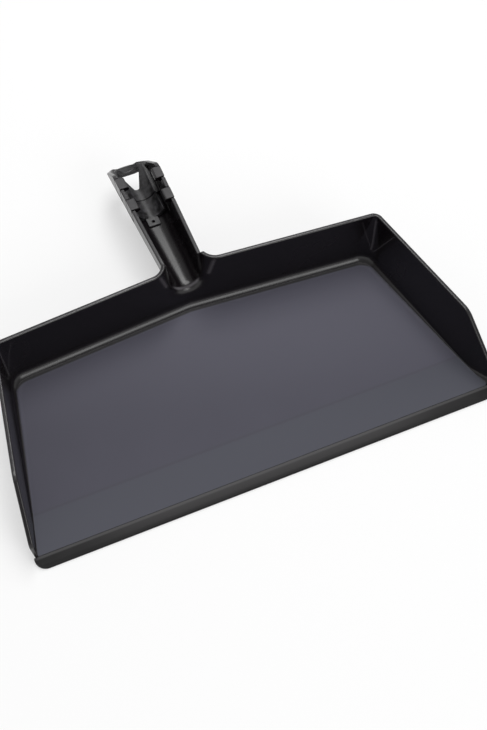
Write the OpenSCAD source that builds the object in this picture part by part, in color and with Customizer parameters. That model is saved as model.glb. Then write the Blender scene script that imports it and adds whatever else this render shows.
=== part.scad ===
// Moulded dustpan of a brush-and-pan set: a tray with a soft front lip, an open
// channel handle that holds a brush by four snap tongues, and a hanging eye.
// Millimetres, Z up, the mouth faces -Y, the handle points along +Y.

/* [Tray] */
// Width of the tray floor at the mouth, wall to wall
mouth_w = 303; // [275:1:330]
// Width of the tray floor at the back corners, wall to wall
back_w = 253; // [225:1:265]
// Depth of the tray from the lip's nose to the middle of the back wall
tray_d = 139.8; // [125:0.1:150]
// How much further back the middle of the back wall is than its corners
back_bow = 9.5; // [4:0.5:14]
// Height of the rim above the ground
rim_h = 44.5; // [38:0.5:50]
// Thickness of the tray's floor and walls
wall_t = 2.8; // [2.2:0.1:3.4]
// Lean of the side walls
side_draft = 4.6; // [2:0.1:7]
// Lean of the back wall
back_draft = 1.8; // [0.5:0.1:3]
// Radius between floor and walls, and of the corners at the floor
foot_r = 7; // [5:0.5:9]
// Radius of the back corners above the rim, so that they tighten upwards
corner_r = 0.8; // [0.5:0.1:9]
// Distance from the nose at which the side walls begin to fall
fall_y = 41; // [34:0.5:50]
// Height that is left of the side walls at the mouth
fall_z = 18.8; // [15:0.2:25]
// Radius at the upper end of the falling edge
kink_r = 12; // [6:0.5:16]
// Radius at the lower end of the falling edge
front_r = 5; // [3:0.5:7]
// Distance from the nose at which the ramp to the lip begins
ramp_y = 34; // [26:0.5:42]
// Rise of the ramp towards the lip
ramp_rise = 0.6; // [0.3:0.1:1]

/* [Lip] */
// Depth of the soft lip strip, nose to heel
lip_d = 7.6; // [7:0.1:11]
// Height of the lip's crest
lip_h = 3.7; // [3.5:0.1:4.5]
// Thickness of the lip's nose
nose_t = 0.9; // [0.7:0.1:1.2]
// Reach of the lip past the tray's floor at each side
lip_over = 1.4; // [0.5:0.1:3]
// Radius of the lip's front corners
lip_r = 7; // [4:0.5:8]
// Depth of the lip's level crest
crest_d = 0.8; // [0.6:0.1:1.6]
// Distance from the nose to the lip's shoulder
shoulder_d = 2.2; // [1.5:0.1:3]
// Height of the lip's shoulder
shoulder_h = 2.7; // [2:0.1:3.2]
// Bevel along the edges of the lip
lip_edge = 0.4; // [0.2:0.1:0.6]
// Thickness of the tray's tongue that the lip grips
tongue_t = 1.2; // [0.9:0.1:1.4]
// Length of the tray's tongue
tongue_l = 3.6; // [3:0.1:5]

/* [Handle] */
// Length of the handle from the back wall's inside to its end
handle_l = 114.2; // [100:0.1:140]
// Distance from the handle's end to the end of its rims
tip_slope = 23; // [16:1:28]
// How far the handle's rims lie under the tray's rim at the handle's end
tip_drop = 1.9; // [1:0.1:3]
// How far the handle's rims lie under the tray's rim at the back wall
root_drop = 4.7; // [3:0.1:6]
// Depth of the channel's floor under its rims at the handle's end
channel_d = 21.6; // [20:0.2:24]
// Thickness of the handle's walls
handle_t = 2.6; // [2.2:0.1:3]
// Lean of the handle's walls
handle_draft = 6; // [3:0.5:8]
// Angle in plan between each wall and the handle's middle
splay = 1.65; // [1:0.05:2.2]
// Radius in plan where the rim runs into the handle
blend_r = 10; // [7:0.5:14]
// Distance behind the back wall at which the rim steps down to the handle's rims
step_y = 4.7; // [1:0.1:7]
// Length of that step
step_l = 4; // [2:0.5:6]
// Angle in plan of the flared mouth of the channel
flare_a = 44; // [30:1:50]
// Length of the flared mouth behind the back wall's inside
flare_l = 8.3; // [5:0.1:9]
// Radius in side view at the end of the rims
tip_round = 7; // [3:0.5:10]
// Radius in plan of the corners of the handle's end
tip_corner = 12; // [6:0.5:12]

/* [Hanging eye] */
// Width of the triangular eye at its base
eye_w = 15.5; // [12:0.5:16]
// Width of the triangular eye at its blunt tip
eye_tip = 3; // [1:0.5:4]
// Length of the triangular eye
eye_l = 17; // [14:0.5:19]
// Distance from the handle's end to the eye's base
eye_edge = 7; // [5:0.5:8]

/* [Brush seat] */
// Radius of the brush handle that lies in the seat
seat_r = 9.9; // [9:0.1:11]
// How much tighter the channel's floor edges are than the brush handle
seat_under = 0.2; // [0:0.1:0.5]
// Thickness of the seat insert at its lowest
seat_t = 1.3; // [1:0.1:1.6]
// Height of the seat's edges above the channel's floor
seat_rise = 6.8; // [6:0.1:7.4]
// Distance from the handle's end to the front edge of the seat
seat_l = 50.5; // [44:0.5:54]
// Distance from the handle's end to the seat insert
seat_back = 1; // [0.5:0.5:2]
// Clearance of the insert in the channel
seat_gap = 0.1; // [0.05:0.05:0.2]
// Distance from the handle's end to the parting groove across the seat
groove_l = 35; // [30:0.5:38]
// Width of the parting groove
groove_w = 0.9; // [0.6:0.1:1.2]
// Radius of the peg that holds the insert
peg_r = 2.2; // [1.8:0.1:2.6]
// Clearance of the peg in its bore
peg_gap = 0.05; // [0.03:0.01:0.1]
// Radius of the peg's core hole
core_r = 1.1; // [0.8:0.1:1.3]
// Width of the pad around the peg
pad_w = 8.4; // [6.5:0.1:9]
// Length of the pad in front of the seat
pad_l = 6.6; // [6:0.1:8]

/* [Snap tongues] */
// Length of each tongue along the handle
snap_l = 9; // [7:0.5:10]
// Distance from the handle's end to the middle of the outer pair
snap_outer = 30.5; // [29.5:0.5:33]
// Distance from the handle's end to the middle of the inner pair
snap_inner = 49.5; // [46:0.5:55]
// How far the lugs reach in over the channel
lug_reach = 3.6; // [2.5:0.1:4.2]
// Height of the lugs' catching noses
lug_h = 3.2; // [2.4:0.1:4]
// Height of the slope under a lug
lug_under = 1.8; // [1:0.1:2.4]
// Bevel at the upper inner edge of a lug
lug_lead = 1.4; // [0.6:0.1:2]
// Bevel along the outer edge of a tongue
snap_edge = 0.6; // [0.2:0.1:1]
// Slot at each side of a tongue
snap_slot = 0.4; // [0.3:0.1:0.6]
// Running clearance of a tongue's root in its seat
root_gap = 0.05; // [0.03:0.01:0.1]

/* [Hidden] */
$fn = 64;
// Fineness of the rounded tray forms and of the corners in side outlines
ball_fn = 32;
arc_n = 6;
// Reach of cutting bodies past the faces that they cut
over = 1;
reach = 30;
// Height of the construction points above the rim and their place in front of the mouth
above = 15;
ahead = 14;
black = [0.07, 0.07, 0.08];
rubber = [0.16, 0.16, 0.17];
grey = [0.2, 0.2, 0.21];

// Slopes of the tray's walls, as change of place for each millimetre
corner_y = tray_d - back_bow;
taper = (mouth_w - back_w) / 2 / corner_y;
bow = back_bow / (back_w / 2);
lean = tan(side_draft);
back_lean = tan(back_draft);
side_k = sqrt(1 + taper * taper + lean * lean);
back_k = sqrt(1 + bow * bow + back_lean * back_lean);
floor_z = wall_t;
low_z = floor_z + foot_r;
high_z = rim_h + above;
outer_y = tray_d + wall_t * back_k + back_lean * (rim_h - floor_z);
fall_a = atan((rim_h - fall_z) / (fall_y - lip_d));
ramp_half = mouth_w / 2 - taper * lip_d - foot_r / 2;
lip_w = mouth_w + 2 * lip_over;

// Levels and lengths of the handle
handle_end = tray_d + handle_l;
handle_h = rim_h - tip_drop;
root_h = rim_h - root_drop;
channel_z = handle_h - channel_d;
channel_r = seat_r - seat_under;
axis_z = channel_z + channel_r;
tip_z = channel_z + handle_t / 2;
tip_half = channel_r + handle_t + handle_l * tan(splay);
eye_base = handle_end - eye_edge;
seat_floor = channel_z + seat_gap;
seat_axis = seat_floor + seat_t + seat_r;
seat_front = handle_end - seat_l;
pad_t = seat_t / 2;
peg_y = seat_front - pad_l / 2;

// Place of a ball of radius r that touches both walls of a back corner at height z
function side_a(z, r) = mouth_w / 2 + lean * (z - floor_z) - r * side_k;
function back_b(z, r) = tray_d + back_lean * (z - floor_z) - r * back_k;
function corner_x(z, r) = (side_a(z, r) - taper * back_b(z, r)) / (1 - taper * bow);
function corner_at(z, r) = [corner_x(z, r), back_b(z, r) - bow * corner_x(z, r), z];
function front_at(z, r) = [side_a(z, r) + taper * ahead, -ahead, z];
function apex_at(z, r) = [0, back_b(z, r), z];

// Place of the channel's wall, grown by t, at height z, and height of the rim at y along the wall
function ch_x(z, t) = (channel_r + t) / cos(handle_draft) + (z - axis_z) * tan(handle_draft);
function rim_at(y) = root_h + (handle_h - root_h) * y / (handle_l - tip_slope);

// Points of a rounded corner of a profile
function turn(a0, a1, i) = a0 + (a1 - a0) * i / arc_n;
function arc(c, r, a0, a1) =
  [for (i = [0 : arc_n]) c + r * [cos(turn(a0, a1, i)), sin(turn(a0, a1, i))]];

module place() {
  translate([0, -handle_end / 2, 0]) children();
}

module both_sides() {
  children();
  mirror([1, 0, 0]) children();
}

// Ball whose lowest facet lies r below its middle
module ball_at(p, r) {
  translate(p) sphere(r = r / cos(180 / ball_fn), $fn = ball_fn);
}

// The tray's rounded form, grown by t: t is zero for its inside
module tray_form(t) {
  hull() {
    both_sides() {
      ball_at(front_at(low_z, foot_r), foot_r + t);
      ball_at(corner_at(low_z, foot_r), foot_r + t);
      ball_at(front_at(high_z, foot_r), foot_r + t);
      ball_at(corner_at(high_z, corner_r), corner_r + t);
    }
    ball_at(apex_at(low_z, foot_r), foot_r + t);
    ball_at(apex_at(high_z, foot_r), foot_r + t);
  }
}

// Section of the right half of the channel, grown by t, open to the left
module half_section(t) {
  r = channel_r + t;
  d = handle_draft;
  translate([0, axis_z]) circle(r = r);
  polygon([[-reach, axis_z - r], [0, axis_z - r], [0, axis_z], [r * cos(d), axis_z - r * sin(d)],
    [ch_x(high_z, t), high_z], [-reach, high_z]]);
}

// Children in the frame of the right wall, whose Y runs along the wall from the back wall
module wall_frame() {
  translate([0, tray_d, 0]) rotate([0, 0, -splay]) children();
}

// The channel's form, grown by t
module channel_form(t) {
  l = handle_l + reach;
  intersection_for (m = [0, 1]) mirror([m, 0, 0]) wall_frame()
    translate([0, l, 0]) rotate([90, 0, 0]) linear_extrude(l + reach) half_section(t);
}

// The flared mouth where the channel opens through the back wall
module channel_flare() {
  y0 = tray_d + flare_l - ch_x(axis_z, 0) * tan(flare_a / 2);
  intersection_for (m = [0, 1]) mirror([m, 0, 0]) translate([0, y0, 0]) rotate([0, 0, flare_a])
    rotate([90, 0, 0]) linear_extrude(2 * reach, center = true) half_section(0);
}

// Rounded gusset between the back wall and the handle's side wall
module blend() {
  x0 = ch_x(root_h, handle_t);
  h = rim_h - channel_z;
  grow = tan(handle_draft);
  difference() {
    translate([x0 - 2 * handle_t, outer_y - 2 * wall_t, channel_z])
      cube([blend_r + 2 * handle_t, blend_r + 2 * wall_t, h]);
    translate([x0 + blend_r, outer_y - bow * (x0 + blend_r) + blend_r, channel_z - over])
      cylinder(h = h + 2 * over, r1 = blend_r + (h + over) * grow, r2 = blend_r - over * grow);
  }
}

// Side outline that trims the mouth, the falling side walls and the handle's end
module side_outline() {
  kink = [fall_y + kink_r * tan(fall_a / 2), rim_h - kink_r];
  front = [lip_d + front_r, fall_z - front_r * tan(45 - fall_a / 2)];
  tip_a = atan((handle_h - tip_z) / tip_slope);
  tip = [handle_end - tip_slope - tip_round * tan(tip_a / 2), handle_h - tip_round];
  polygon(concat(
    [[lip_d, -over]],
    arc(front, front_r, 180, 90 + fall_a),
    arc(kink, kink_r, 90 + fall_a, 90),
    [[outer_y + step_y, rim_h], [outer_y + step_y + step_l, rim_at(step_y + step_l)]],
    arc(tip, tip_round, 90, 90 - tip_a),
    [[handle_end, tip_z], [handle_end, -over]]
  ));
}

module side_trim() {
  translate([-mouth_w, 0, 0]) rotate([90, 0, 90]) linear_extrude(2 * mouth_w) side_outline();
}

// Rounds the two corners of the handle's end in plan
module tip_corners() {
  r = tip_corner;
  both_sides() translate([tip_half - r, handle_end - r, -over]) difference() {
    cube([2 * r, 2 * r, rim_h]);
    cylinder(h = rim_h, r = r);
  }
}

// Gentle ramp from the tray's floor up to the lip
module ramp() {
  translate([-ramp_half, 0, 0]) rotate([90, 0, 90]) linear_extrude(2 * ramp_half)
    polygon([[lip_d, floor_z - over], [lip_d, floor_z + ramp_rise], [ramp_y, floor_z],
      [ramp_y, floor_z - over]]);
}

// Thin tongue along the tray's front edge that carries the lip
module lip_tongue() {
  w = mouth_w - 4 * foot_r;
  translate([-w / 2, lip_d - tongue_l, (floor_z - tongue_t) / 2]) cube([w, tongue_l + over, tongue_t]);
}

module eye_cut() {
  translate([0, eye_base, 0]) linear_extrude(rim_h)
    polygon([[-eye_w / 2, 0], [eye_w / 2, 0], [eye_tip / 2, -eye_l], [-eye_tip / 2, -eye_l]]);
}

// Opening in the handle's right wall for a snap tongue whose middle is d from the end
module snap_window(d) {
  x = ch_x(axis_z, handle_t / 2);
  l = snap_l + 2 * snap_slot;
  wall_frame() translate([x, handle_l - d, axis_z]) {
    translate([-2 * handle_t, -l / 2, 0]) cube([4 * handle_t, l, rim_h]);
    translate([0, l / 2, 0]) rotate([90, 0, 0]) cylinder(h = l, r = handle_t / 2 + root_gap);
  }
}

module pan() {
  color(black) place() difference() {
    intersection() {
      union() {
        difference() {
          union() {
            tray_form(wall_t);
            channel_form(handle_t);
            both_sides() blend();
          }
          tray_form(0);
          channel_form(0);
          channel_flare();
        }
        ramp();
      }
      side_trim();
    }
    tip_corners();
    eye_cut();
    both_sides() {
      snap_window(snap_inner);
      snap_window(snap_outer);
    }
    translate([0, peg_y, channel_z - 2 * handle_t]) cylinder(h = 4 * handle_t, r = peg_r + peg_gap);
  }
  color(black) place() lip_tongue();
}

// Plan of the lip strip, with round front corners
module lip_plan() {
  w = lip_w / 2 - lip_r;
  h = lip_h + 2 * over;
  translate([0, 0, -over]) {
    translate([-w, 0, 0]) cube([2 * w, lip_d, h]);
    both_sides() {
      translate([w - over, lip_r, 0]) cube([lip_r + over, lip_d - lip_r, h]);
      translate([w, lip_r, 0]) cylinder(h = h, r = lip_r);
    }
  }
}

module lip_strip() {
  e = lip_edge;
  color(rubber) place() difference() {
    intersection() {
      translate([-lip_w / 2, 0, 0]) rotate([90, 0, 90]) linear_extrude(lip_w)
        polygon([[e, 0], [0, e], [0, nose_t], [shoulder_d, shoulder_h], [lip_d - crest_d - e, lip_h],
          [lip_d - e, lip_h], [lip_d, lip_h - e], [lip_d, 0]]);
      lip_plan();
    }
    lip_tongue();
  }
}

// Lower slice of the channel between two distances from the nose, up to height h above its floor
module channel_slice(y0, y1, w, h) {
  intersection() {
    channel_form(-seat_gap);
    translate([-w / 2, y0, 0]) cube([w, y1 - y0, seat_floor + h]);
  }
}

// Curved plate on the channel's floor: brush seat, eye surround and holding peg
module seat_insert() {
  w = 2 * tip_half;
  color(grey) place() difference() {
    intersection() {
      union() {
        channel_slice(seat_front, handle_end - seat_back, w, seat_rise);
        channel_slice(seat_front - pad_l, seat_front + over, pad_w, pad_t);
        translate([0, peg_y, channel_z - handle_t]) cylinder(h = handle_t + seat_gap + pad_t, r = peg_r);
      }
      side_trim();
    }
    translate([0, handle_end, seat_axis]) rotate([90, 0, 0]) cylinder(h = seat_l + over, r = seat_r);
    translate([0, peg_y, channel_z - handle_t / 2]) cylinder(h = 2 * handle_t, r = core_r);
    translate([-w / 2, handle_end - groove_l, seat_floor + seat_t / 2]) cube([w, groove_w, rim_h]);
    eye_cut();
    tip_corners();
  }
}

// Flexing tongue of the right wall with its lug, whose middle is d from the handle's end
module snap_tongue(d) {
  y = handle_l - d;
  top = rim_at(y);
  xi = ch_x(top, 0) - lug_reach;
  xo = ch_x(top, handle_t);
  under = top - lug_h - lug_under;
  color(black) place() wall_frame() translate([0, y + snap_l / 2, 0]) rotate([90, 0, 0]) {
    linear_extrude(snap_l)
      polygon([[ch_x(axis_z, 0), axis_z], [ch_x(axis_z, handle_t), axis_z], [xo, top - snap_edge],
        [xo - snap_edge, top], [xi + lug_lead, top], [xi, top - lug_lead], [xi, top - lug_h],
        [ch_x(under, 0), under]]);
    translate([ch_x(axis_z, handle_t / 2), axis_z, 0]) cylinder(h = snap_l, r = handle_t / 2);
  }
}

module snap_left_inner() {
  mirror([1, 0, 0]) snap_tongue(snap_inner);
}

module snap_left_outer() {
  mirror([1, 0, 0]) snap_tongue(snap_outer);
}

module snap_right_inner() {
  snap_tongue(snap_inner);
}

module snap_right_outer() {
  snap_tongue(snap_outer);
}

pan();
lip_strip();
seat_insert();
snap_left_inner();
snap_left_outer();
snap_right_inner();
snap_right_outer();
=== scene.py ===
from math import atan, cos, pi, radians, sin, tan

import bmesh
import bpy
from mathutils import Matrix, Vector


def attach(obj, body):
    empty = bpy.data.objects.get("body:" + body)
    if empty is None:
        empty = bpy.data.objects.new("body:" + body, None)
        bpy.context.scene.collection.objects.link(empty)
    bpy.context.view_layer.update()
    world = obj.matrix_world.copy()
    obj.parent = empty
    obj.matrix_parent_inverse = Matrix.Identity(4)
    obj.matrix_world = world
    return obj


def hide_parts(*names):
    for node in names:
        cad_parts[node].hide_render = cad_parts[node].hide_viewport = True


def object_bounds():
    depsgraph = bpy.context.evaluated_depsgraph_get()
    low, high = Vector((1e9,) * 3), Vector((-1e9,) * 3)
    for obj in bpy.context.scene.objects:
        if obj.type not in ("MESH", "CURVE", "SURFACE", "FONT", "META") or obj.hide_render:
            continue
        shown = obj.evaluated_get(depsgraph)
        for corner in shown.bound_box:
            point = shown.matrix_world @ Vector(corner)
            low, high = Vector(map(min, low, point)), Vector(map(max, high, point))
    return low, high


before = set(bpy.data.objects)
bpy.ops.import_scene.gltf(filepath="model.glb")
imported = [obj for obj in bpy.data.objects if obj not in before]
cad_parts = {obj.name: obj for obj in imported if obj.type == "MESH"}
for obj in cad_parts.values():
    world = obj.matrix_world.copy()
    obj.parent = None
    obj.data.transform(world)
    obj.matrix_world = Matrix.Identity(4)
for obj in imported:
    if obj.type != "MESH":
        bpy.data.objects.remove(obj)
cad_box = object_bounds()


# The pan: tray and open channel handle in one injection moulding of black polypropylene, 2.8 mm thick
# all over. Its inside is folded up here as a sheet, half of it at first: floor, walls, then the channel
# drawn out of a notch in the back wall. The bends are rounded, the half is mirrored and gets its thickness.
mm = 0.001
nose = cad_box[0].y
wall = 2.8
mouth, depth, bow, taper = 303, 139.8, 0.0751, 0.1919
side_lean, back_lean = 0.0805, 0.0314
lip_d, ramp_y, ramp_rise, rim = 7.6, 34, 0.6, 44.5
far_out, far_back = 100, depth - 30  # beyond both lies the back corner
near, merge = 0.1, 0.01  # how close counts as lying on a plane, and as the same corner


def at(x, y, z):
    """A point in the part's frame, from millimetres across, behind the lip's nose and above the ground."""
    return Vector((x * mm, y * mm + nose, z * mm))


def anywhere(x, y, z):
    return True


def on_side(x, y, z):
    return abs(x + taper * y - mouth / 2 - side_lean * (z - wall)) < near


def on_back(x, y, z):
    return abs(y + bow * x - depth - back_lean * (z - wall)) < near


def in_corner(x, y, z):
    return x > far_out and y > far_back


def pick(kind, *tests):
    """Selects the corners, edges or faces of the piece in hand all of whose corners pass one of the tests."""
    bpy.ops.mesh.select_mode(type=kind)
    bpy.ops.mesh.select_all(action="DESELECT")
    mesh = bmesh.from_edit_mesh(bpy.context.object.data)
    parts = {"VERT": mesh.verts, "EDGE": mesh.edges, "FACE": mesh.faces}[kind]
    for part in parts:
        corners = [part] if kind == "VERT" else part.verts
        places = [(v.co.x / mm, (v.co.y - nose) / mm, v.co.z / mm) for v in corners]
        part.select_set(any(all(test(*p) for p in places) for test in tests))
    mesh.select_flush_mode()
    bmesh.update_edit_mesh(bpy.context.object.data)


def cut(point, direction, where=anywhere, drop=False, close=False):
    """Cuts faces along a plane. It can drop the side that the direction points to, and close the cut."""
    pick("FACE", where)
    bpy.ops.mesh.bisect(plane_co=point, plane_no=Vector(direction).normalized(), clear_outer=drop,
                        use_fill=close, threshold=merge * mm / 10)


def shift(x=0, y=0, z=0):
    bpy.ops.transform.translate(value=(x * mm, y * mm, z * mm))


def round_off(offset, segments, kind="EDGES"):
    bpy.ops.mesh.bevel(offset=offset * mm, segments=segments, affect=kind, clamp_overlap=False)


def clear_hand():
    """Leaves edit mode and deselects everything, so that the next primitive stands alone."""
    if bpy.context.mode == "EDIT_MESH":
        bpy.ops.object.mode_set(mode="OBJECT")
    bpy.ops.object.select_all(action="DESELECT")


def take(name):
    """Takes the newest object in hand as a named piece, with its place in its mesh, and goes to edit mode."""
    piece = bpy.context.object
    piece.name = piece.data.name = name
    bpy.ops.object.transform_apply(location=True, rotation=True, scale=True)
    bpy.ops.object.mode_set(mode="EDIT")
    return piece


clear_hand()
plate = 160
bpy.ops.mesh.primitive_plane_add(size=plate * mm, location=at(plate / 2, plate / 2, wall))
pan = take("moulded_pan")
cut(at(mouth / 2, 0, wall), (1, taper, 0), drop=True)
cut(at(0, depth, wall), (bow, 1, 0), drop=True)
cut(at(0, lip_d, wall), (0, -1, 0), drop=True)
cut(at(0, ramp_y, wall), (0, 1, 0))
pick("VERT", lambda x, y, z: y < lip_d + near)
shift(z=ramp_rise)
pick("VERT", lambda x, y, z: y < lip_d + near and x > near)
shift(x=side_lean * ramp_rise)

# The walls rise from the floor's edge and lean outwards.
height = rim - wall
square = 1 - taper * bow
pick("EDGE", on_side, on_back)
bpy.ops.mesh.extrude_region_move(TRANSFORM_OT_translate={"value": (0, 0, height * mm)})
pick("VERT", lambda x, y, z: z > rim - near and in_corner(x, y, z))
shift(x=height * (side_lean - taper * back_lean) / square, y=height * (back_lean - bow * side_lean) / square)
pick("VERT", lambda x, y, z: z > rim - near and y < ramp_y + near)
shift(x=height * side_lean)
pick("VERT", lambda x, y, z: z > rim - near and x < near)
shift(y=height * back_lean)

# The channel is drawn out of a notch in the back wall and spreads a little towards its end.
handle_end, channel_floor, draft, splay = 254, 21, radians(6), radians(1.65)
axis_z, axis_half = 30.7, 9.7534
notch_half = axis_half + 2  # a little past the channel's walls at the rim
spare = 20  # drawn past the handle's end and cut off there later


def in_notch(x, y, z):
    return z > channel_floor - near and x < notch_half and on_back(x, y, z)


cut(at(0, 0, channel_floor), (0, 0, 1), on_back)
cut(at(axis_half, 0, axis_z), (cos(draft), 0, -sin(draft)), on_back)
pick("FACE", in_notch)
bpy.ops.mesh.delete(type="FACE")
pick("FACE", on_back)
bpy.ops.mesh.dissolve_limited(angle_limit=radians(1))
pick("EDGE", in_notch)
drawn = handle_end - depth + spare
bpy.ops.mesh.extrude_region_move(TRANSFORM_OT_translate={"value": (0, drawn * mm, 0)})
bpy.ops.transform.resize(value=(1, 0, 1), center_override=at(0, depth + drawn, 0))
pick("VERT", lambda x, y, z: y > handle_end and x > near)
shift(x=drawn * tan(splay))

# The bends: the channel's round bottom, its mouth, which opens upwards, the back corners, which tighten
# upwards, and the foot of the walls, which runs out over the ramp to nothing at the lip.
channel_r, mouth_r, mouth_top_r = 9.1, 7, 12.5
turn_r, corner_r, foot_r, ramp_foot = 12, 2.6, 7, 0.22
root_half = 40  # the handle and the back wall's stretch beside it
half_turn = pi / 4 - draft / 2
pick("EDGE", lambda x, y, z: y > depth - 1 and abs(z - channel_floor) < near and x > near)
round_off(channel_r * tan(half_turn), segments=10)
pick("EDGE", in_notch)
round_off(mouth_r, segments=9)
mouth_x = axis_half + (rim - axis_z) * tan(draft)
mouth_y = depth + back_lean * height - bow * mouth_x
opening = mouth_top_r / mouth_r
pick("VERT", lambda x, y, z: z > rim - near and x < root_half)
bpy.ops.transform.resize(value=(opening, opening, 1), center_override=at(mouth_x, mouth_y, rim))
pick("EDGE", lambda x, y, z: on_side(x, y, z) and on_back(x, y, z))
round_off(turn_r * tan((pi / 2 - atan(taper) - atan(bow)) / 2), segments=8)
pick("EDGE", *[lambda x, y, z, on=on: z < wall + 1 and on(x, y, z) for on in (on_side, on_back, in_corner)])
round_off(foot_r * tan(pi / 4 - atan(side_lean) / 2), segments=8)
for line_y, rise, share in ((lip_d, ramp_rise, 0), (ramp_y, 0, ramp_foot)):
    line_x = mouth / 2 - taper * line_y + side_lean * rise
    pick("VERT", lambda x, y, z: abs(y - line_y) < near and x > line_x - foot_r - 1 and z < wall + foot_r + 1)
    bpy.ops.transform.resize(value=(share, 1, share), center_override=at(line_x, line_y, wall + rise))
    bpy.ops.mesh.remove_doubles(threshold=merge * mm)
corner_x = (mouth / 2 + side_lean * height - taper * (depth + back_lean * height)) / square
corner_y = depth + back_lean * height - bow * corner_x
tightening = corner_r / turn_r
pick("VERT", lambda x, y, z: z > rim - near and in_corner(x, y, z))
bpy.ops.transform.resize(value=(tightening, tightening, 1), center_override=at(corner_x, corner_y, rim))

# The rims: falling towards the mouth, stepping down to the handle, and sloping at its end.
fall_y, fall_z, kink_r, front_r = 41, 18.8, 12, 5
step_y, step_end, step_near, step_merge, root_z = 148, 151, 6, 0.6, 40.05
tip_y, tip_z, tip_r, end_z = 231, 42.6, 7, 22.3
end_slope = (0, tip_z - end_z, handle_end - tip_y)


def on_handle(x, y, z):
    return y > depth - 3 and z > channel_floor - near and x < root_half


def past_step(x, y, z):
    return y > step_end - near


cut(at(0, fall_y, rim), (0, fall_z - rim, fall_y - lip_d), drop=True)
cut(at(0, handle_end, 0), (0, 1, 0), drop=True)
cut(at(0, step_end, 0), (0, 1, 0), on_handle)
cut(at(0, step_y, rim), (0, rim - root_z, step_end - step_y),
    lambda x, y, z: on_handle(x, y, z) and y < step_end + near, drop=True)
cut(at(0, step_end, root_z), (0, root_z - tip_z, tip_y - step_end), past_step, drop=True)
cut(at(0, tip_y, tip_z), end_slope, past_step, drop=True)
pick("VERT", lambda x, y, z: step_y - step_near < y < step_end + step_near and z > axis_z)
bpy.ops.mesh.remove_doubles(threshold=step_merge * mm)
fall_turn = atan((rim - fall_z) / (fall_y - lip_d))
tip_turn = atan((tip_z - end_z) / (handle_end - tip_y))
pick("VERT", lambda x, y, z: abs(y - fall_y) < near and z > rim - near)
round_off(kink_r * tan(fall_turn / 2), segments=9, kind="VERTICES")
pick("VERT", lambda x, y, z: y < lip_d + near and z > fall_z - 1)
round_off(front_r * tan(pi / 4 - fall_turn / 2), segments=5, kind="VERTICES")
pick("VERT", lambda x, y, z: abs(y - tip_y) < near and z > tip_z - 1)
round_off(tip_r * tan(tip_turn / 2), segments=5, kind="VERTICES")

# Four windows in the channel's walls leave room for the snap tongues.
snap_inner, snap_outer, window_half, window_z = 204.2, 223.2, 4.95, 29.36


def off_channel(x, y, z):
    return x - axis_half - (z - axis_z) * tan(draft) - max(0, y - depth) * tan(splay)


def on_wall(x, y, z):
    return abs(off_channel(x, y, z)) < near and past_step(x, y, z)


for middle in (snap_inner, snap_outer):
    for end in (middle - window_half, middle + window_half):
        cut(at(0, end, 0), (0, 1, 0), on_wall)
cut(at(0, 0, window_z), (0, 0, 1), on_wall)
for middle in (snap_inner, snap_outer):
    pick("FACE", lambda x, y, z: (on_wall(x, y, z) and z > window_z - near
                                  and abs(y - middle) < window_half + near))
    bpy.ops.mesh.delete(type="FACE")


def finish_with(piece, kind, **settings):
    """Adds one modifier to a piece and applies it."""
    bpy.ops.object.mode_set(mode="OBJECT")
    bpy.context.view_layer.objects.active = piece
    step = piece.modifiers.new(kind.lower(), kind)
    for name, value in settings.items():
        setattr(step, name, value)
    bpy.ops.object.modifier_apply(modifier=step.name)


# Both halves together get their thickness outwards. Then the hanging eye and the seat's peg hole are cut.
finish_with(pan, "MIRROR", use_axis=(True, False, False), merge_threshold=merge * mm)
bpy.ops.object.mode_set(mode="EDIT")
bpy.ops.mesh.select_all(action="SELECT")
bpy.ops.mesh.normals_make_consistent(inside=True)
finish_with(pan, "SOLIDIFY", thickness=wall * mm, offset=-1, use_quality_normals=True)
eye_w, eye_tip, eye_y, eye_end, eye_corner = 15.5, 3, 230, 247, 1
peg_y, peg_r, peg_play = 200.2, 2.2, 0.05
below_handle, above_handle = 10, 30  # the height range that goes right through the channel's bottom


def block(name, low, high):
    """Starts a piece as a block between two corners, in millimetres, that the cuts and bends then shape."""
    clear_hand()
    middle = [(a + b) / 2 for a, b in zip(low, high)]
    bpy.ops.mesh.primitive_cube_add(size=mm, location=at(*middle), scale=[b - a for a, b in zip(low, high)])
    return take(name)


def pin(name, radius, low, high):
    """Starts an upright pin at the place of the seat's peg."""
    clear_hand()
    bpy.ops.mesh.primitive_cylinder_add(vertices=48, radius=radius * mm, depth=(high - low) * mm,
                                        location=at(0, peg_y, (low + high) / 2))
    return take(name)


def carve(piece, tool, way="DIFFERENCE"):
    finish_with(piece, "BOOLEAN", object=tool, operation=way, solver="EXACT")


def put_away(*tools):
    for tool in tools:
        bpy.data.objects.remove(tool)


eye_middle = (eye_y + eye_end) / 2
eye = block("eye_tool", (-eye_w / 2, eye_y, below_handle), (eye_w / 2, eye_end, above_handle))
pick("VERT", lambda x, y, z: y < eye_y + near)
bpy.ops.transform.resize(value=(eye_tip / eye_w, 1, 1), center_override=at(0, eye_y, 0))
pick("EDGE", *[lambda x, y, z, s=s, e=e: s * x > 0 and e * (y - eye_middle) > 0
               for s in (1, -1) for e in (1, -1)])
round_off(eye_corner, segments=4)
carve(pan, eye)
bore = pin("bore_tool", peg_r + peg_play, below_handle, above_handle)
carve(pan, bore)
put_away(bore)


def smooth_edges(piece, width, segments=3):
    """Rounds a finished piece's sharp edges a little, as a mould leaves them, and shades it smooth."""
    finish_with(piece, "BEVEL", width=width * mm, segments=segments, limit_method="ANGLE",
                angle_limit=radians(40), use_clamp_overlap=False)
    bpy.ops.object.select_all(action="DESELECT")
    piece.select_set(True)
    bpy.ops.object.shade_smooth_by_angle(angle=radians(35))
    finish_with(piece, "WEIGHTED_NORMAL", keep_sharp=True)


smooth_edges(pan, width=0.8)


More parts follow.
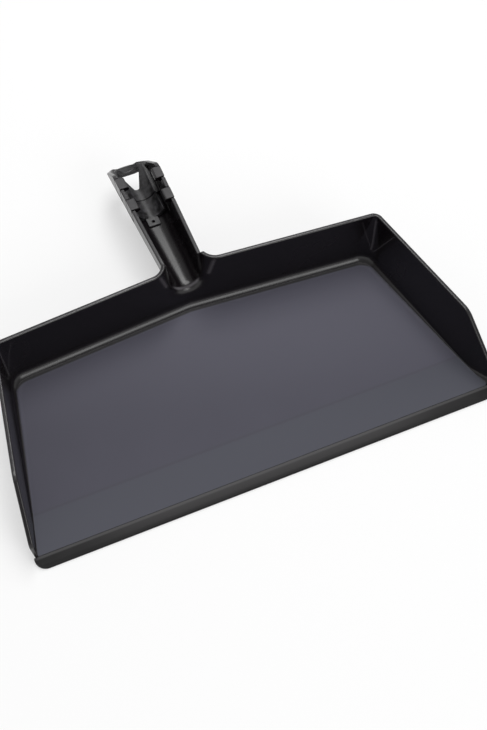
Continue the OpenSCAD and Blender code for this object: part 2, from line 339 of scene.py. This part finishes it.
def linear(code):
    """An sRGB hex colour as linear red, green, blue and alpha."""
    parts = [int(code[i:i + 2], 16) / 255 for i in (1, 3, 5)]
    return [p / 12.92 if p <= 0.04045 else ((p + 0.055) / 1.055) ** 2.4 for p in parts] + [1]


def node(tree, kind, sockets=None, **settings):
    """Adds a node with its settings. A socket takes a value, an output, or a node for its first output."""
    new = tree.nodes.new("ShaderNode" + kind)
    for name, value in settings.items():
        setattr(new, name, value)
    for name, value in (sockets or {}).items():
        if isinstance(value, bpy.types.Node):
            value = value.outputs[0]
        if isinstance(value, bpy.types.NodeSocket):
            tree.links.new(value, new.inputs[name])
        else:
            new.inputs[name].default_value = value
    return new


def new_finish(name):
    """A new material and its node tree, which is empty."""
    finish = bpy.data.materials.new(name)
    finish.use_nodes = True
    finish.node_tree.nodes.clear()
    return finish, finish.node_tree


# Black polypropylene from a polished mould: deep black with a clear gloss on walls, rims and handle. The
# mould's floor was spark-eroded, so the tray's is matt, charcoal grey and finely grained up to the foot of
# the walls. Painted light: the floor is painted paler towards the back and right, the ramp a little lighter
# and bluer for the light on its slope, and a painted shade line lies along the ramp's crease.
polypropylene, tree = new_finish("moulded_polypropylene")
grain = 0.9  # the real grain is about 0.3 mm and wouldn't show
cloud, sheen_noise_l = 45, 4
back_light_from, back_light_to, back_light_skew = 40, 125, 0.3
crease_y, crease_half, ramp_light_half = ramp_y + 0.9, 1.4, 0.8
place = node(tree, "TexCoord")
apart = node(tree, "SeparateXYZ", {0: place.outputs["Object"]})
facing = node(tree, "SeparateXYZ", {0: place.outputs["Normal"]})
across, along, above = apart.outputs
to_side, _, to_top = facing.outputs
aside = node(tree, "Math", {0: across}, operation="ABSOLUTE")
behind = node(tree, "Math", {0: along, 1: nose}, operation="SUBTRACT")
sideways = node(tree, "Math", {0: to_side, 1: to_side}, operation="MULTIPLY")
upward = node(tree, "Math", {0: sideways, 1: 0.45, 2: to_top}, operation="MULTIPLY_ADD")
upward = node(tree, "MapRange", {"Value": upward, "From Min": 0.955, "From Max": 0.995},
              interpolation_type="SMOOTHSTEP")
low = node(tree, "MapRange", {"Value": above, "From Min": (wall + 3.5) * mm, "From Max": (wall + 1.5) * mm})
eroded = node(tree, "Math", {0: upward, 1: low}, operation="MULTIPLY")
pores = node(tree, "TexNoise", {"Vector": place.outputs["Object"], "Scale": 1 / (grain * mm), "Detail": 2.0})
flow = node(tree, "TexNoise", {"Vector": place.outputs["Object"], "Scale": 1 / (cloud * mm), "Detail": 3.0})
tone = node(tree, "MixRGB", {0: flow, 1: linear("#3b3a46"), 2: linear("#403f4b")})
# Painted light: the floor's tone is painted paler towards the back and the right.
painted_back_light = node(tree, "Math", {0: across, 1: back_light_skew, 2: behind}, operation="MULTIPLY_ADD")
painted_back_light = node(tree, "MapRange", {"Value": painted_back_light, "From Min": back_light_from * mm, "From Max": back_light_to * mm},
            interpolation_type="SMOOTHSTEP")
tone = node(tree, "MixRGB", {0: painted_back_light, 1: tone, 2: linear("#4b4a56")})
# Painted light: the ramp's tone is painted a little lighter and bluer, for the light its slope catches.
painted_ramp_light = node(tree, "MapRange", {"Value": behind, "From Min": (ramp_y + ramp_light_half) * mm,
                                  "From Max": (ramp_y - ramp_light_half) * mm})
tone = node(tree, "MixRGB", {0: painted_ramp_light, 1: tone, 2: linear("#3f404a")})
# Painted shade: a darker line is painted along the ramp's crease.
crease = node(tree, "Math", {0: behind, 1: crease_y * mm}, operation="SUBTRACT")
crease = node(tree, "Math", {0: crease}, operation="ABSOLUTE")
crease = node(tree, "MapRange", {"Value": crease, "From Max": crease_half * mm, "To Min": 0.42,
                                 "To Max": 0.0})
tone = node(tree, "MixRGB", {0: crease, 1: tone, 2: linear("#33323c")})
colour = node(tree, "MixRGB", {0: eroded, 1: linear("#0a0609"), 2: tone})

# Painted highlights: a streak and a bow where the channel runs into the tray, and lines that fan up from
# each back corner, are painted lighter where the gloss would catch light. A mark's values are what it is
# measured along, where it starts, its lean, half its width, its lowest and highest point, and its strength.
outward = node(tree, "CombineXYZ", {0: across, 1: behind})
turned = node(tree, "VectorMath", {0: outward, 1: place.outputs["Normal"]}, operation="DOT_PRODUCT")
inside = node(tree, "MapRange", {"Value": turned.outputs["Value"], "From Min": 0.0, "From Max": -0.03})
painted_highlights = None
for axis, start, lean, half, low_z, high_z, strength in (
        (aside, 14.8, 0.33, 1.9, 31.3, 43, 0.55),
        (behind, 143.1, 0.03, 1.1, 20, 24.5, 0.85),
        (aside, 126.7, 0.099, 0.8, 15.6, 42, 0.45),
        (behind, 124.4, -0.457, 0.7, 15.2, 42, 0.4),
        (aside, 127.2, -0.262, 0.7, 14.6, 41, 0.2)):
    line = node(tree, "Math", {0: above, 1: lean, 2: (start - lean * low_z) * mm}, operation="MULTIPLY_ADD")
    off = node(tree, "Math", {0: axis, 1: line}, operation="SUBTRACT")
    off = node(tree, "Math", {0: off}, operation="ABSOLUTE")
    painted_highlight = node(tree, "MapRange", {"Value": off, "From Max": half * mm, "To Min": strength, "To Max": 0.0})
    begin = node(tree, "MapRange", {"Value": above, "From Min": (low_z - 2) * mm, "From Max": low_z * mm})
    end = node(tree, "MapRange", {"Value": above, "From Min": (high_z + 1) * mm,
                                  "From Max": (high_z - 2) * mm})
    painted_highlight = node(tree, "Math", {0: painted_highlight, 1: begin}, operation="MULTIPLY")
    painted_highlight = node(tree, "Math", {0: painted_highlight, 1: end}, operation="MULTIPLY")
    painted_highlights = node(tree, "Math", {0: painted_highlights, 1: painted_highlight}, operation="MAXIMUM") if painted_highlights else painted_highlight
painted_highlights = node(tree, "Math", {0: painted_highlights, 1: inside}, operation="MULTIPLY")
colour = node(tree, "MixRGB", {0: painted_highlights, 1: colour, 2: linear("#545155")})

# Rims and lugs are painted lighter grey along their upward-facing tops, a painted highlight where the light
# falls on them, and they are duller on the handle than on the tray. The floor's matt finish reaches a little
# up the foot of the walls and fades into their gloss.
painted_rim_sheen = node(tree, "MapRange", {"Value": to_top, "From Min": 0.75, "From Max": 0.97, "To Max": 0.75})
high = node(tree, "MapRange", {"Value": above, "From Min": 36 * mm, "From Max": 40 * mm})
painted_rim_sheen = node(tree, "Math", {0: painted_rim_sheen, 1: high}, operation="MULTIPLY")
sheen_noise = node(tree, "TexNoise", {"Vector": place.outputs["Object"], "Scale": 1 / (sheen_noise_l * mm),
                                  "Detail": 4.0})
painted_rim_sheen = node(tree, "Math", {0: painted_rim_sheen, 1: sheen_noise}, operation="MULTIPLY")
colour = node(tree, "MixRGB", {0: painted_rim_sheen, 1: colour, 2: linear("#454446")})
gloss = node(tree, "MapRange", {"Value": flow, "From Min": 0.3, "From Max": 0.7,
                                "To Min": 0.2, "To Max": 0.28})
foot = node(tree, "MapRange", {"Value": to_top, "From Min": 0.866, "From Max": 0.906, "To Max": 0.4})
below = node(tree, "MapRange", {"Value": above, "From Min": (wall + 8) * mm, "From Max": (wall + 5) * mm})
gloss = node(tree, "Math", {0: foot, 1: below, 2: gloss}, operation="MULTIPLY_ADD")
rough = node(tree, "MapRange", {"Value": eroded, "To Min": gloss, "To Max": 0.7})
handled = node(tree, "MapRange", {"Value": behind, "From Min": 150 * mm, "From Max": 160 * mm, "To Max": 0.7})
rough = node(tree, "Math", {0: painted_rim_sheen, 1: handled, 2: rough}, operation="MULTIPLY_ADD")
relief = node(tree, "MapRange", {"Value": eroded, "To Min": 0.05, "To Max": 0.35})
bump = node(tree, "Bump", {"Height": pores, "Strength": relief, "Distance": 0.05 * mm})
shader = node(tree, "BsdfPrincipled", {"Base Color": colour, "Roughness": rough, "IOR": 1.5, "Normal": bump})
node(tree, "OutputMaterial", {"Surface": shader})
pan.data.materials.append(polypropylene)
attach(pan, "dustpan")
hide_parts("pan")


# The lip: a soft strip of thermoplastic rubber along the mouth, pushed onto the front edge of the tray.
# It is highest where it meets the floor and thins out towards its nose, and its front corners are round.
lip_w, lip_h, lip_nose, lip_r, heel = 305.8, 3.7, 0.9, 7, 0.3
crest, shoulder, shoulder_z, shoulder_r = 0.8, 2.2, 2.7, 1.6
lip = block("rubber_lip", (-lip_w / 2, 0, 0), (lip_w / 2, lip_d + heel, lip_h))
pick("EDGE", lambda x, y, z: y < near and x > 0, lambda x, y, z: y < near and x < 0)
round_off(lip_r, segments=8)
cut(at(0, 0, lip_nose), (0, lip_nose - shoulder_z, shoulder), drop=True, close=True)
cut(at(0, shoulder, shoulder_z), (0, shoulder_z - lip_h, lip_d - crest - shoulder), drop=True, close=True)
pick("EDGE", lambda x, y, z: abs(y - shoulder) < near and abs(z - shoulder_z) < near)
round_off(shoulder_r, segments=6)
bpy.ops.mesh.select_all(action="SELECT")
bpy.ops.mesh.remove_doubles(threshold=merge * mm)
smooth_edges(lip, width=0.35)

# Dark thermoplastic rubber: dull and a little lighter than the pan, with the faint bloom and fine scuffs of
# use. Its colour is painted palest along its top edge, as a painted highlight, and darker towards its ends
# and its foot, as painted shade.
rubber, tree = new_finish("soft_lip_rubber")
pore, bloom = 0.8, 30  # the real pores are finer than 0.1 mm and wouldn't show
end_shade_from, end_shade_to = 150, 60
place = node(tree, "TexCoord")
fine = node(tree, "TexNoise", {"Vector": place.outputs["Object"], "Scale": 1 / (pore * mm), "Detail": 2.0})
patchy = node(tree, "TexNoise", {"Vector": place.outputs["Object"], "Scale": 1 / (bloom * mm), "Detail": 4.0})
across, _, above = node(tree, "SeparateXYZ", {0: place.outputs["Object"]}).outputs
aside = node(tree, "Math", {0: across}, operation="ABSOLUTE")
# Painted shade: the rubber is painted darker towards its ends and towards its foot.
painted_end_shade = node(tree, "MapRange", {"Value": aside, "From Min": end_shade_from * mm, "From Max": end_shade_to * mm},
            interpolation_type="SMOOTHSTEP")
upper = node(tree, "MapRange", {"Value": above, "From Min": 1.2 * mm, "From Max": 3.6 * mm})
shade = node(tree, "Math", {0: painted_end_shade, 1: upper}, operation="MULTIPLY")
spots = node(tree, "MapRange", {"Value": patchy, "From Min": 0.3, "From Max": 0.7,
                                "To Min": 0.75, "To Max": 1.0})
shade = node(tree, "Math", {0: shade, 1: spots}, operation="MULTIPLY")
colour = node(tree, "MixRGB", {0: shade, 1: linear("#0b0a0b"), 2: linear("#3b3a3b")})
# Painted highlight: a paler line is painted along the lip's crest.
edge = node(tree, "MapRange", {"Value": above, "From Min": 3.45 * mm, "From Max": 3.65 * mm, "To Max": 0.5})
colour = node(tree, "MixRGB", {0: edge, 1: colour, 2: linear("#565556")})
dull = node(tree, "MapRange", {"Value": patchy, "From Min": 0.3, "From Max": 0.7,
                               "To Min": 0.68, "To Max": 0.8})
bump = node(tree, "Bump", {"Height": fine, "Strength": 0.2, "Distance": 0.05 * mm})
shader = node(tree, "BsdfPrincipled", {"Base Color": colour, "Roughness": dull, "IOR": 1.4, "Normal": bump})
node(tree, "OutputMaterial", {"Surface": shader})
lip.data.materials.append(rubber)
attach(lip, "dustpan")
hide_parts("lip_strip")


# The brush seat: a moulded insert that lies in the channel's round bottom and surrounds the hanging eye.
# A hollow along its top takes the brush's handle. A peg under its front tab sits in a hole of the channel.
seat_y, seat_end, seat_top, seat_z, seat_r, seat_axis = 203.5, 253, 27.9, 21, 9.9, 32.3
gap, inset = 0.1, 1  # play in the channel, and distance from the handle's end
half_block = 1  # a block starts this narrow, and its corners then move out to the channel's walls
end_r, end_half, end_steps = 12, 12.2, 8
seat = block("brush_seat", (-half_block, seat_y, seat_z + gap), (half_block, seat_end, seat_top))
for side in (1, -1):
    for end in (seat_y, seat_end):
        for level in (seat_z + gap, seat_top):
            pick("VERT", lambda x, y, z: x * side > 0 and abs(y - end) < near and abs(z - level) < near)
            shift(x=side * (-off_channel(0, end, level) - gap - half_block))
pick("EDGE", lambda x, y, z: x > 0 and z < seat_z + 1, lambda x, y, z: x < 0 and z < seat_z + 1)
round_off((channel_r - gap) * tan(half_turn), segments=10)
cut(at(0, tip_y - inset, tip_z), end_slope, drop=True, close=True)
for side in (1, -1):
    corner = at(side * (end_half - end_r), handle_end - end_r, 0)
    for step in range(1, end_steps):
        angle = step * pi / (2 * end_steps)
        turn = Vector((side * sin(angle), cos(angle), 0))
        cut(corner + (end_r - inset) * mm * turn, turn, drop=True, close=True)

# The hollow opens a little towards its end, has a groove across it, and ends in a slope behind the eye.
tool_y, tool_end, flare_r, stop_y, stop_slope = 185, 275, 12.2, 247.6, 0.9
groove_y, groove_w, groove_d = 218.8, 1.3, 0.8
clear_hand()
bpy.ops.mesh.primitive_cylinder_add(vertices=128, radius=seat_r * mm, depth=(tool_end - tool_y) * mm,
                                    location=at(0, (tool_y + tool_end) / 2, seat_axis),
                                    rotation=(pi / 2, 0, 0))
hollow = take("hollow_tool")
for ring_y in (groove_y, groove_y + groove_w):
    cut(at(0, ring_y, 0), (0, 1, 0))
flare = flare_r / seat_r
pick("VERT", lambda x, y, z: y > tool_end - 1)
bpy.ops.transform.resize(value=(flare, 1, flare), center_override=at(0, tool_end, seat_axis - seat_r))
pick("FACE", lambda x, y, z: groove_y - near < y < groove_y + groove_w + near)
bpy.ops.mesh.extrude_region_shrink_fatten(TRANSFORM_OT_shrink_fatten={"value": groove_d * mm})
cut(at(0, stop_y, seat_axis - seat_r), (0, 1, -stop_slope), drop=True, close=True)
carve(seat, hollow)
tools = [hollow]

# In front of the groove the seat's upper edges slope down to its sides.
bevel, bevel_l, bevel_x, bevel_z = 6, 30, 11.3, 30
for side in (1, -1):
    clear_hand()
    bpy.ops.mesh.primitive_cube_add(size=bevel * mm, scale=(1, bevel_l / bevel, 1), rotation=(0, pi / 4, 0),
                                    location=at(side * bevel_x, groove_y - bevel_l / 2, bevel_z))
    tools.append(take("edge_tool"))
    carve(seat, tools[-1])
carve(seat, eye)

# The front tab with its rounded corners, the peg under it, and the core hole that the mould leaves there.
tab_w, tab_y, tab_t, tab_r, tab_edge, overlap = 8.4, 196.9, 1.3, 1, 0.5, 1
hole_r, peg_end, hole_end = 1.1, 18.4, 19
tools.append(block("tab_tool", (-tab_w / 2, tab_y, seat_z + gap),
                   (tab_w / 2, seat_y + overlap, seat_z + gap + tab_t)))
pick("EDGE", lambda x, y, z: x > 0 and y < tab_y + near, lambda x, y, z: x < 0 and y < tab_y + near)
round_off(tab_r, segments=3)
pick("EDGE", lambda x, y, z: x > 1 and z < seat_z + 1, lambda x, y, z: x < -1 and z < seat_z + 1)
round_off(tab_edge, segments=2)
carve(seat, tools[-1], "UNION")
for radius, bottom, top, way in ((peg_r, peg_end, seat_z + overlap, "UNION"),
                                 (hole_r, hole_end, above_handle, "DIFFERENCE")):
    tools.append(pin("peg_tool", radius, bottom, top))
    carve(seat, tools[-1], way)
put_away(eye, *tools)
smooth_edges(seat, width=0.25, segments=2)

# Black plastic of the insert: duller than the pan, and scuffed in small grey patches by the brush's handle.
scuffed, tree = new_finish("scuffed_insert_plastic")
scuff = 3
place = node(tree, "TexCoord")
patches = node(tree, "TexNoise", {"Vector": place.outputs["Object"], "Scale": 1 / (scuff * mm), "Detail": 5.0,
                                  "Roughness": 0.6})
scuffs = node(tree, "MapRange", {"Value": patches, "From Min": 0.42, "From Max": 0.68})
colour = node(tree, "MixRGB", {0: scuffs, 1: linear("#0b0a0b"), 2: linear("#363538")})
dull = node(tree, "MapRange", {"Value": scuffs, "To Min": 0.32, "To Max": 0.5})
bump = node(tree, "Bump", {"Height": patches, "Strength": 0.2, "Distance": 0.08 * mm})
shader = node(tree, "BsdfPrincipled", {"Base Color": colour, "Roughness": dull, "IOR": 1.5, "Normal": bump})
node(tree, "OutputMaterial", {"Surface": shader})
seat.data.materials.append(scuffed)
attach(seat, "dustpan")
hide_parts("seat_insert")


# The snap tongues: four short lengths of the channel's walls, moulded in one with it and free on three sides,
# that bend outwards round their feet. A lug on each reaches in over the channel and holds the brush's handle.
# One is shaped here and copied, moved along the rim or mirrored. They have the pan's own polypropylene.
tongue_l, tongue_z, tongue_foot_r, hinge_h = 9, 29.41, 1.2, 3
lug_reach, lug_h, lug_under, lug_lead = 3.6, 3.2, 1.8, 1.4
rim_slope = (tip_z - root_z) / (tip_y - step_end)


def rim_z(y):
    return root_z + (y - step_end) * rim_slope


top = rim_z(snap_inner)
lug_z = top - lug_h - lug_under
ends = (snap_inner - tongue_l / 2, snap_inner + tongue_l / 2)
tongue = block("snap_tongue_right_inner", (-half_block, ends[0], tongue_z), (half_block, ends[1], top))
for out, face in ((-half_block, 0), (half_block, wall)):
    for end in ends:
        for level in (tongue_z, top):
            pick("VERT", lambda x, y, z: max(abs(x - out), abs(y - end), abs(z - level)) < near)
            shift(x=-off_channel(0, end, level) + face - out, z=rim_z(end) - top if level == top else 0)
cut(at(0, 0, lug_z), (0, 0, 1))
pick("FACE", lambda x, y, z: off_channel(x, y, z) < near and z > lug_z - near)
bpy.ops.mesh.extrude_region_move(TRANSFORM_OT_translate={"value": (-lug_reach * mm, 0, 0)})
pick("VERT", lambda x, y, z: off_channel(x, y, z) < -1 and z < top - lug_h)
shift(z=lug_under)
pick("EDGE", lambda x, y, z: off_channel(x, y, z) < -1 and z > top - 1)
round_off(lug_lead, segments=4)
pick("EDGE", lambda x, y, z: z < tongue_z + near and off_channel(x, y, z) < near,
     lambda x, y, z: z < tongue_z + near and off_channel(x, y, z) > near)
round_off(tongue_foot_r, segments=4)
tongues = {"right_inner": tongue}
for name, source, along in (("right_outer", "right_inner", snap_outer - snap_inner),
                            ("left_inner", "right_inner", 0), ("left_outer", "right_outer", 0)):
    clear_hand()
    tongues[source].select_set(True)
    bpy.context.view_layer.objects.active = tongues[source]
    bpy.ops.object.duplicate()
    tongues[name] = take("snap_tongue_" + name)
    pick("VERT", anywhere)
    if along:
        shift(x=along * tan(splay), y=along)
        pick("VERT", lambda x, y, z: z > tongue_z + hinge_h)
        shift(x=along * rim_slope * tan(draft), z=along * rim_slope)
    else:
        bpy.ops.transform.resize(value=(-1, 1, 1), center_override=(0, 0, 0))
        bpy.ops.mesh.select_all(action="SELECT")
        bpy.ops.mesh.normals_make_consistent(inside=False)
for name, piece in tongues.items():
    smooth_edges(piece, width=0.4)
    piece.data.materials.append(polypropylene)
    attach(piece, "tongue_" + name)
    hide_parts("snap_" + name)


# The stage: a floor of plain white paper under a bright, even studio sky. It is lit by a large soft lamp
# above, a low, broad one in front and a small one behind. The paper shows the object's shadow near by,
# and is plain white further off.
floor_size, floor_drop, fade_from, fade_to = 8, 0.2, 0.2, 0.6
clear_hand()
bpy.ops.mesh.primitive_plane_add(size=floor_size, location=(0, 0, -floor_drop * mm))
floor = bpy.context.object
floor.name = "studio_floor"


def seen_rays(tree):
    """One for rays to the eye, straight, by gloss or through something clear, and zero for all others."""
    ray = node(tree, "LightPath").outputs
    seen = node(tree, "Math", {0: ray["Is Camera Ray"], 1: ray["Is Glossy Ray"]}, operation="MAXIMUM")
    return node(tree, "Math", {0: seen, 1: ray["Is Transmission Ray"]}, operation="MAXIMUM")


paper, tree = new_finish("white_paper")
place = node(tree, "TexCoord")
away = node(tree, "VectorMath", {0: place.outputs["Object"]}, operation="LENGTH")
far = node(tree, "MapRange", {"Value": away.outputs["Value"], "From Min": fade_from, "From Max": fade_to,
                              "To Min": 0.5}, interpolation_type="SMOOTHSTEP")
far = node(tree, "Math", {0: far, 1: seen_rays(tree)}, operation="MULTIPLY")
near_by = node(tree, "BsdfDiffuse", {"Color": linear("#f7f7f7")})
far_off = node(tree, "Emission", {"Color": linear("#ffffff"), "Strength": 1.0})
shader = node(tree, "MixShader", {0: far, 1: near_by, 2: far_off})
node(tree, "OutputMaterial", {"Surface": shader})
floor.data.materials.append(paper)

sky = bpy.data.worlds.new("studio_sky")
sky.use_nodes = True
tree = sky.node_tree
tree.nodes.clear()
way = node(tree, "TexCoord")
up = node(tree, "SeparateXYZ", {0: way.outputs["Generated"]}).outputs["Z"]
dome = node(tree, "MapRange", {"Value": up, "From Min": 0.1, "From Max": 0.65, "To Min": 1.0, "To Max": 0.45},
            interpolation_type="SMOOTHSTEP")
level = node(tree, "MapRange", {"Value": seen_rays(tree), "To Min": 0.65, "To Max": 1.0})
strength = node(tree, "Math", {0: dome, 1: level}, operation="MULTIPLY")
light = node(tree, "Background", {"Color": linear("#ffffff"), "Strength": strength})
node(tree, "OutputWorld", {"Surface": light})
bpy.context.scene.world = sky

for name, lamp_at, size, deep, power in (("top_lamp", Vector((0.15, 0.25, 2.1)), 1.3, 1.3, 24),
                                         ("front_strip", Vector((0.4, -1.5, 0.94)), 0.9, 0.7, 7),
                                         ("back_lamp", Vector((0.32, 0.66, 1.15)), 0.42, 0.42, 3.3)):
    bpy.ops.object.light_add(type="AREA", location=lamp_at)
    lamp = bpy.context.object
    lamp.name = name
    lamp.data.shape = "RECTANGLE"
    lamp.data.size = size
    lamp.data.size_y = deep
    lamp.data.energy = power
    lamp.rotation_euler = lamp_at.to_track_quat("Z", "Y").to_euler()
bpy.context.scene.view_settings.view_transform = "Standard"

# The camera looks at a point of the tray. Its lens is given in pixels of a picture 730 high.
azimuth, elevation, roll = radians(-25.79), radians(57.07), radians(2.219)
aim, distance = at(15.574, 85.561, -1.2), 863.373
lens, picture_h, sensor = 1339.37, 730, 36
bpy.ops.object.camera_add()
camera = bpy.context.object
turn = (Matrix.Rotation(azimuth, 3, "Z") @ Matrix.Rotation(pi / 2 - elevation, 3, "X")
        @ Matrix.Rotation(roll, 3, "Z"))
camera.rotation_euler = turn.to_euler()
camera.location = aim + turn @ Vector((0, 0, distance * mm))
camera.data.sensor_fit = "AUTO"
camera.data.sensor_width = sensor
camera.data.lens = lens / picture_h * sensor
bpy.context.scene.camera = camera
